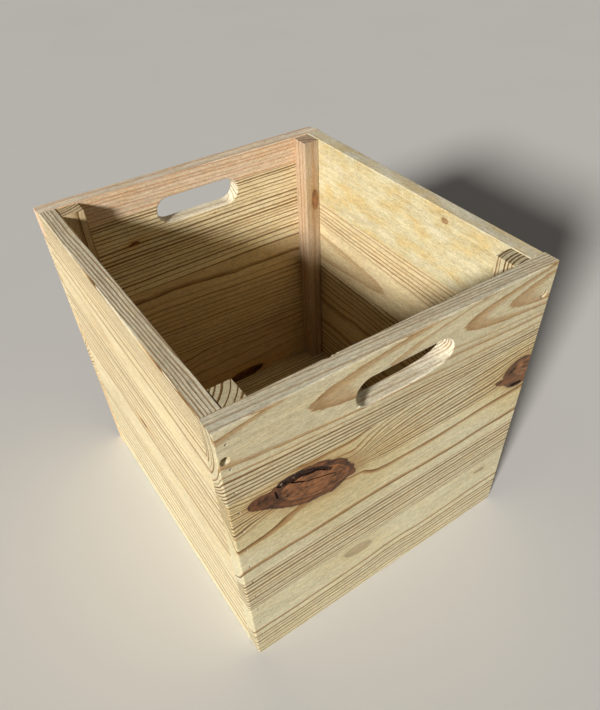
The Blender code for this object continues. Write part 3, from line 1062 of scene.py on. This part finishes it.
def panel_boards(panel, split_axis, blank, glue_line):
    """Split a rounded blank into boards where the frame's boards meet."""
    names = sorted(nodes_starting(f"{panel}_board_"), key=lambda name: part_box(name)[0][split_axis])
    joints = []
    for lower, upper in zip(names, names[1:]):
        joints.append((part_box(lower)[1][split_axis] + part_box(upper)[0][split_axis]) / 2)
    boards = []
    for number, name in enumerate(names):
        mesh = blank.copy()
        if number > 0:
            keep_side(mesh, split_axis, joints[number - 1] + glue_line / 2, 1)
        if number < len(names) - 1:
            keep_side(mesh, split_axis, joints[number] - glue_line / 2, -1)
        boards.append((name, to_object(f"{name}_wood", mesh)))
    blank.free()
    return boards


def fastener_holes(panel):
    """Cutters for a panel's screws and brads where the frame has them, as (place, radius, cutter)."""
    side = -1 if panel == "front" else 1
    face = box_of(nodes_starting(f"{panel}_board_"))[0 if side < 0 else 1].y
    holes = []
    for name in nodes_starting(f"{panel}_screw_") + nodes_starting(f"{panel}_brad_"):
        low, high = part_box(name)
        middle = (low + high) / 2
        floor = abs((low.y if side < 0 else high.y) - face)
        if "screw" in name:
            radius, ease, sides = SCREW_BORE_RADIUS, 0.0003, 40
        else:
            radius, ease, sides = (high.x - low.x) / 2 + BRAD_PLAY, 0.0001, 16
            floor += BRAD_HEAD
        profile = (
            (-CUTTER_REACH, 0.0), (-CUTTER_REACH, radius + ease), (0.0, radius + ease),
            (ease, radius), (floor, radius), (floor, 0.0),
        )
        tool = turned(profile, sides)
        place = Vector((middle.x, face, middle.z))
        bmesh.ops.transform(tool, matrix=outward(place, side), verts=tool.verts)
        holes.append((place, radius, tool))
    return holes


def join_meshes(meshes):
    joined = bmesh.new()
    for mesh in meshes:
        data = bpy.data.meshes.new("part")
        mesh.to_mesh(data)
        mesh.free()
        joined.from_mesh(data)
        bpy.data.meshes.remove(data)
    return joined


def end_blank(shape, low, high, outer, inner):
    """The front or back panel in one piece, with its corners and edges rounded."""
    mesh = block(low, high)
    is_back = outer > inner
    if is_back:
        upright = edges_where(mesh, lambda co: near(co.y, outer) and near(co.x, high.x))
        round_edges(mesh, upright, shape.corner_round, 9)
    else:
        for end in (low.x, high.x):
            foot = edges_where(mesh, lambda co: near(co.x, end) and near(co.z, low.z))
            round_edges(mesh, foot, shape.foot_round, 7)

    def on_outline(co):
        reach = shape.corner_round + MM / 10
        return near(co.y, outer) or is_back and co.x > high.x - reach and co.y > outer - reach

    sharp = [edge for edge in edges_where(mesh, on_outline) if edge.calc_face_angle() > SHARP_ANGLE]
    round_edges(mesh, sharp, shape.edge_round)
    rim = edges_where(mesh, lambda co: near(co.y, inner) and near(co.z, high.z))
    round_edges(mesh, rim, shape.inner_round, 3)
    return mesh


def flaw_cutters(name, outer, inner, top, pocket_depth):
    """Cutters for a board's resin pockets, torn grain and chips."""
    lean_in = 0.1 * (pocket_depth if outer < inner else -pocket_depth)
    cutters = []
    for number, (along, across, length, height, lean) in enumerate(POCKETS.get(name, ())):
        place = Vector((along * MM, outer + lean_in, across * MM))
        sizes = (length * MM, pocket_depth, height * MM)
        cutters.append(rough_lens(place, sizes, lean, number * 7.3))
    for number, (along, across, length, height) in enumerate(TEARS.get(name, ())):
        place = Vector((along * MM, outer, across * MM))
        sizes = (length * MM, TEAR_DEPTH, height * MM)
        cutters.append(rough_lens(place, sizes, 6.0, 70 + number * 3.7))
    for number, (along, length, height) in enumerate(CHIPS.get(name, ())):
        place = Vector((along * MM, inner, top))
        sizes = (length * MM, CHIP_DEPTH, height * MM)
        cutters.append(rough_lens(place, sizes, 0.0, 40 + number * 5.1))
    return cutters


def end_panel(panel, shape, wood):
    """Front or back panel: rounded, slotted, drilled and split into boards."""
    low, high = box_of(nodes_starting(f"{panel}_board_"))
    side = -1 if panel == "front" else 1
    outer, inner = (low.y, high.y) if side < 0 else (high.y, low.y)
    middle = Vector((0.0, 0.0, high.z - shape.slot_below_rim))
    rise = shape.slot_rise if side < 0 else 0.0
    slot = slot_cutter(middle, shape, rise, slot_levels(outer, inner, shape.slot_round))
    half_height = shape.slot_height / 2
    wall_x = shape.slot_length / 2 + shape.slot_round
    wall_z = half_height + shape.slot_round
    holes = fastener_holes(panel)

    def routed(at, normal):
        if abs(at.x) < wall_x and abs(at.z - middle.z) < wall_z and abs(normal.y) < 0.95:
            return 1.0
        # Upward faces are made paler, partly planed wood and partly painted light
        return RIM_PALENESS if normal.z > 0.7 else 0.0

    blank = end_blank(shape, low, high, outer, inner)
    for name, board in panel_boards(panel, 2, blank, shape.glue_line):
        board_low, board_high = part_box(name)
        cutters = []
        if board_high.z > middle.z - half_height and board_low.z < middle.z + half_height:
            cutters.append(slot.copy())
        tools = [tool.copy() for place, radius, tool in holes
                 if board_low.z - radius < place.z < board_high.z + radius]
        if tools:
            cutters.append(join_meshes(tools))
        cutters += flaw_cutters(name, outer, inner, high.z, shape.resin_depth)
        if cutters:
            carve(board, *cutters)
        pockets = [
            (Vector((along * MM, across * MM)), max(length, height) * 1.3 * MM)
            for along, across, length, height, lean in POCKETS.get(name, ())
        ]

        def hollow(at, normal):
            sunk = (outer - at.y) * side
            if not 0.00012 < sunk < shape.resin_depth * 1.6:
                return False
            return any((at.xz - place).length < reach for place, reach in pockets)

        mark_faces(board, "routed", routed)
        mark_faces(board, "hollow", hollow)
        smooth_faces(board)
        add_piece(board, name, pine_material(name, panel, wood), f"pine_{panel}")
    slot.free()
    for place, radius, tool in holes:
        tool.free()


def side_panel(panel, shape, wood):
    """Left or right panel, between the end panels."""
    low, high = box_of(nodes_starting(f"{panel}_board_"))
    low.y = box_of(nodes_starting("front_board_"))[1].y + shape.glue_line
    high.y = box_of(nodes_starting("back_board_"))[0].y - shape.glue_line
    outer, inner = (low.x, high.x) if panel == "left" else (high.x, low.x)
    blank = block(low, high)
    long_edges = [
        edge for edge in edges_where(blank, lambda co: near(co.x, outer))
        if abs(edge.verts[0].co.y - edge.verts[1].co.y) > MM
    ]
    round_edges(blank, long_edges, shape.edge_round)
    rim = edges_where(blank, lambda co: near(co.x, inner) and near(co.z, high.z))
    round_edges(blank, rim, shape.inner_round, 3)
    for name, board in panel_boards(panel, 2, blank, shape.glue_line):
        # The rim's upward faces are made paler, partly planed wood and partly painted light
        mark_faces(board, "routed", lambda at, normal: RIM_PALENESS * (normal.z > 0.7))
        smooth_faces(board)
        add_piece(board, name, pine_material(name, panel, wood), f"pine_{panel}")


def bottom_panel(shape, wood):
    low, high = box_of(nodes_starting("bottom_board_"))
    blank = block(low, high)
    for name, board in panel_boards("bottom", 1, blank, shape.glue_line):
        smooth_faces(board)
        add_piece(board, name, pine_material(name, "bottom", wood), "pine_bottom")


def corner_post(name, shape, wood):
    low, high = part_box(name)
    mesh = block(low, high)
    upright = [edge for edge in mesh.edges if abs(edge.verts[0].co.z - edge.verts[1].co.z) > MM]
    round_edges(mesh, upright, shape.inner_round, 3)
    top = edges_where(mesh, lambda co: near(co.z, high.z))
    round_edges(mesh, top, shape.inner_round / 2, 2)
    post = to_object(f"{name}_wood", mesh)
    smooth_faces(post)
    add_piece(post, name, pine_material(name, "post", wood), "pine_post")


def cross_recess(depth, reach):
    """A cross-shaped cutter that narrows into a screw's head."""
    arms = []
    for turn in range(2):
        mesh = block((-reach, -0.001, -reach * 0.24), (reach, depth, reach * 0.24))
        for vert in mesh.verts:
            if vert.co.y > 0:
                vert.co.x *= 0.45
        bmesh.ops.rotate(mesh, verts=mesh.verts, matrix=Matrix.Rotation(turn * pi / 2 + 0.35, 3, "Y"))
        arms.append(mesh)
    return arms


def fastener(name, material):
    """A screw or brad along Y where the frame has it, with its head outward."""
    low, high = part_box(name)
    side = -1 if name.startswith("front") else 1
    length = high.y - low.y
    head = (high.x - low.x) / 2
    is_screw = "screw" in name
    if is_screw:
        shank, root, cone = head * 0.53, head * 0.53 * 0.72, head * 0.67
        profile = [(0.0, 0.0), (0.0, head - 0.0002), (0.0002, head), (cone, shank)]
        along = cone + SCREW_PLAIN_SHANK
        while along < length - SCREW_TIP:
            profile += [(along, root), (along + SCREW_PITCH / 2, shank)]
            along += SCREW_PITCH
        profile += [(length - SCREW_TIP, root), (length, 0.0)]
    else:
        shank = head * 0.6
        profile = [
            (0.0, 0.0), (0.0, head * 0.8), (0.00015, head), (0.0007, head), (BRAD_HEAD, shank),
            (length - BRAD_TIP, shank), (length, 0.0),
        ]
    piece = to_object(f"{name}_steel", turned(profile, 48 if is_screw else 20))
    if is_screw:
        carve(piece, *cross_recess(0.0016, head * 0.62))
    middle = (low + high) / 2
    start = Vector((middle.x, low.y if side < 0 else high.y, middle.z))
    piece.data.transform(outward(start, side))
    smooth_faces(piece, 40.0)
    add_piece(piece, name, material, "screw_zinc" if is_screw else "brad_steel")


# ---------------------------------------------------------------- stage


def make_floor(colour):
    mesh = bmesh.new()
    bmesh.ops.create_grid(mesh, x_segments=1, y_segments=1, size=6.0)
    floor = to_object("floor", mesh)
    material, tree, shader = new_material("floor_paint")
    grain = tree.noise(tree.made("ShaderNodeTexCoord", "Object"), scale=3.0, detail=6.0)
    tree.put(shader["Base Color"], tree.tint(colour, grain * 0.06 + 0.97))
    shader["Roughness"].default_value = 0.85
    floor.data.materials.append(material)
    floor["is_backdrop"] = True


def direction_to(azimuth, elevation):
    """The unit vector toward a place seen at an azimuth from the front and an elevation."""
    level = cos(elevation)
    return Vector((sin(azimuth) * level, -cos(azimuth) * level, sin(elevation)))


def make_light(stage):
    back = direction_to(SUN_AZIMUTH, SUN_ELEVATION)
    data = bpy.data.lights.new("key", "SUN")
    data.angle = SUN_ANGLE
    data.energy = stage.key_strength
    data.color = (1.0, 0.975, 0.93)
    key = bpy.data.objects.new("key", data)
    key.location = back * 2.0
    key.rotation_euler = (-back).to_track_quat("-Z", "Y").to_euler()
    bpy.context.scene.collection.objects.link(key)
    world = bpy.data.worlds.new("studio")
    world.use_nodes = True
    background = world.node_tree.nodes["Background"]
    background.inputs["Color"].default_value = (1.0, 0.95, 0.88, 1.0)
    background.inputs["Strength"].default_value = stage.fill_strength
    bpy.context.scene.world = world


def make_camera(stage):
    data = bpy.data.cameras.new("camera")
    data.sensor_width = 36.0
    data.lens = stage.lens
    data.shift_x, data.shift_y = CAMERA_SHIFT
    data.clip_start = 0.01
    camera = bpy.data.objects.new("camera", data)
    back = direction_to(CAMERA_AZIMUTH, CAMERA_ELEVATION)
    right = Vector((0.0, 0.0, 1.0)).cross(back).normalized()
    up = back.cross(right)
    turned_right = right * cos(CAMERA_ROLL) + up * sin(CAMERA_ROLL)
    turned_up = up * cos(CAMERA_ROLL) - right * sin(CAMERA_ROLL)
    axes = Matrix((turned_right, turned_up, back)).transposed().to_4x4()
    camera.matrix_world = Matrix.Translation(CAMERA_PLACE) @ axes
    bpy.context.scene.collection.objects.link(camera)
    bpy.context.scene.camera = camera


# ---------------------------------------------------------------- operators


def settings(context):
    return context.scene.pine_box_shape, context.scene.pine_box_wood


class PINEBOX_OT_stage(bpy.types.Operator):
    """Add the floor, the light and the camera"""

    bl_idname = "pinebox.stage"
    bl_label = "Stage"

    def execute(self, context):
        stage = context.scene.pine_box_stage
        context.scene.view_settings.view_transform = "Standard"
        make_floor(stage.floor_colour)
        make_light(stage)
        make_camera(stage)
        return {"FINISHED"}


class PINEBOX_OT_front_panel(bpy.types.Operator):
    """Add the front panel's boards, with the hand slot and the two knots"""

    bl_idname = "pinebox.front_panel"
    bl_label = "Front Panel"

    def execute(self, context):
        end_panel("front", *settings(context))
        return {"FINISHED"}


class PINEBOX_OT_back_panel(bpy.types.Operator):
    """Add the back panel's boards, with the hand slot across a glue line"""

    bl_idname = "pinebox.back_panel"
    bl_label = "Back Panel"

    def execute(self, context):
        end_panel("back", *settings(context))
        return {"FINISHED"}


class PINEBOX_OT_side_panels(bpy.types.Operator):
    """Add the left and right panels' boards"""

    bl_idname = "pinebox.side_panels"
    bl_label = "Side Panels"

    def execute(self, context):
        for panel in ("left", "right"):
            side_panel(panel, *settings(context))
        return {"FINISHED"}


class PINEBOX_OT_bottom_panel(bpy.types.Operator):
    """Add the bottom panel's boards"""

    bl_idname = "pinebox.bottom_panel"
    bl_label = "Bottom Panel"

    def execute(self, context):
        bottom_panel(*settings(context))
        return {"FINISHED"}


class PINEBOX_OT_corner_posts(bpy.types.Operator):
    """Add the posts in the inner corners"""

    bl_idname = "pinebox.corner_posts"
    bl_label = "Corner Posts"

    def execute(self, context):
        for name in nodes_starting("post_"):
            corner_post(name, *settings(context))
        return {"FINISHED"}


class PINEBOX_OT_fasteners(bpy.types.Operator):
    """Add the screws and the brads"""

    bl_idname = "pinebox.fasteners"
    bl_label = "Screws and Brads"

    def execute(self, context):
        zinc = steel_material("zinc", (0.62, 0.60, 0.56), 0.34)
        wire = steel_material("wire", (0.62, 0.56, 0.47), 0.45)
        for panel in ("front", "back"):
            for name in nodes_starting(f"{panel}_screw_"):
                fastener(name, zinc)
            for name in nodes_starting(f"{panel}_brad_"):
                fastener(name, wire)
        return {"FINISHED"}


STEPS = (
    PINEBOX_OT_stage,
    PINEBOX_OT_front_panel,
    PINEBOX_OT_back_panel,
    PINEBOX_OT_side_panels,
    PINEBOX_OT_bottom_panel,
    PINEBOX_OT_corner_posts,
    PINEBOX_OT_fasteners,
)


class PINEBOX_PT_sidebar(bpy.types.Panel):
    """Sizes, colours and steps of the pine box"""

    bl_label = "Pine Box"
    bl_idname = "PINEBOX_PT_sidebar"
    bl_space_type = "VIEW_3D"
    bl_region_type = "UI"
    bl_category = "Pine Box"

    def draw(self, context):
        for group in ("pine_box_shape", "pine_box_wood", "pine_box_stage"):
            settings = getattr(context.scene, group)
            column = self.layout.column()
            for name in settings.bl_rna.properties.keys():
                if name not in {"rna_type", "name"}:
                    column.prop(settings, name)
        for step in STEPS:
            self.layout.operator(step.bl_idname)


CLASSES = (PineBoxShape, PineBoxWood, PineBoxStage, *STEPS, PINEBOX_PT_sidebar)


def register():
    for item in CLASSES:
        bpy.utils.register_class(item)
    bpy.types.Scene.pine_box_shape = PointerProperty(type=PineBoxShape)
    bpy.types.Scene.pine_box_wood = PointerProperty(type=PineBoxWood)
    bpy.types.Scene.pine_box_stage = PointerProperty(type=PineBoxStage)


def unregister():
    del bpy.types.Scene.pine_box_stage
    del bpy.types.Scene.pine_box_wood
    del bpy.types.Scene.pine_box_shape
    for item in reversed(CLASSES):
        bpy.utils.unregister_class(item)


def main():
    register()
    for step in STEPS:
        group, name = step.bl_idname.split(".")
        getattr(getattr(bpy.ops, group), name)()
    sizes = {
        "cad": [list(CAD_LOW), list(CAD_HIGH)],
        "visual": [list(corner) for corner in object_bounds()],
    }


if __name__ == "__main__":
    main()
